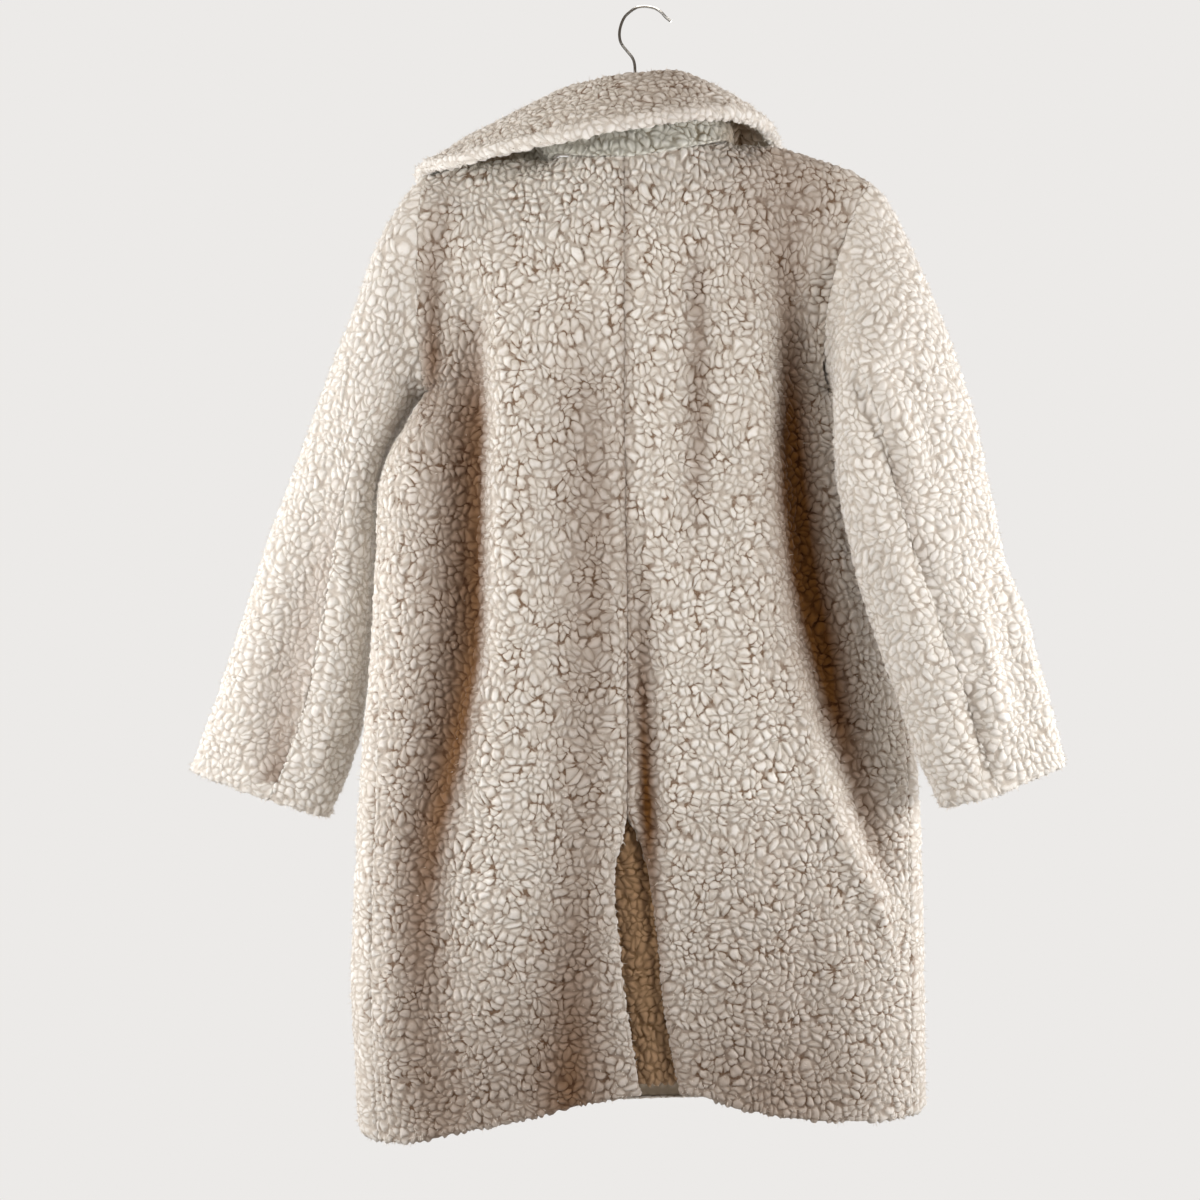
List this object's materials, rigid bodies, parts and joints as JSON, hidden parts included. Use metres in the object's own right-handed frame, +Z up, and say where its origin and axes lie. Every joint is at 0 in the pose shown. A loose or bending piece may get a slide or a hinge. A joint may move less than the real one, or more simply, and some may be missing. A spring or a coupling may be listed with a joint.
{
  "type": "faux fur coat on a hanger",
  "caption": "Knee-length cream faux fur coat with a wide turned-down collar, long sleeves and a back vent, hanging open at neck, hem and cuffs on a wire-hook hanger.",
  "frame": {"origin": "inside of the hook's top, where it bears on whatever holds the hanger", "axes": "+Z up, -Y out of the coat's back, +X towards the wearer's right"},
  "size_m": [0.8577, 0.1868, 1.1191],
  "materials": {
    "faux_fur": "matt cream pile of packed curls on a knitted backing",
    "faux_fur_inner": "the same pile where it lies in shade, under the collar and behind the vent",
    "hook_wire": "bright round wire",
    "hanger_bar": "plain dark bar, out of sight"
  },
  "bodies": {
    "root": {"back_left": "faux_fur", "back_right": "faux_fur", "front_left": "faux_fur", "front_right": "faux_fur", "lapel_left": "faux_fur", "lapel_right": "faux_fur", "sleeve_left_upper": "faux_fur", "sleeve_left_under": "faux_fur", "sleeve_right_upper": "faux_fur", "sleeve_right_under": "faux_fur", "upper_collar": "faux_fur", "under_collar": "faux_fur_inner", "vent_underlay": "faux_fur_inner", "hanger_hook": "hook_wire", "hanger_arms": "hanger_bar"}
  },
  "joints": []
}
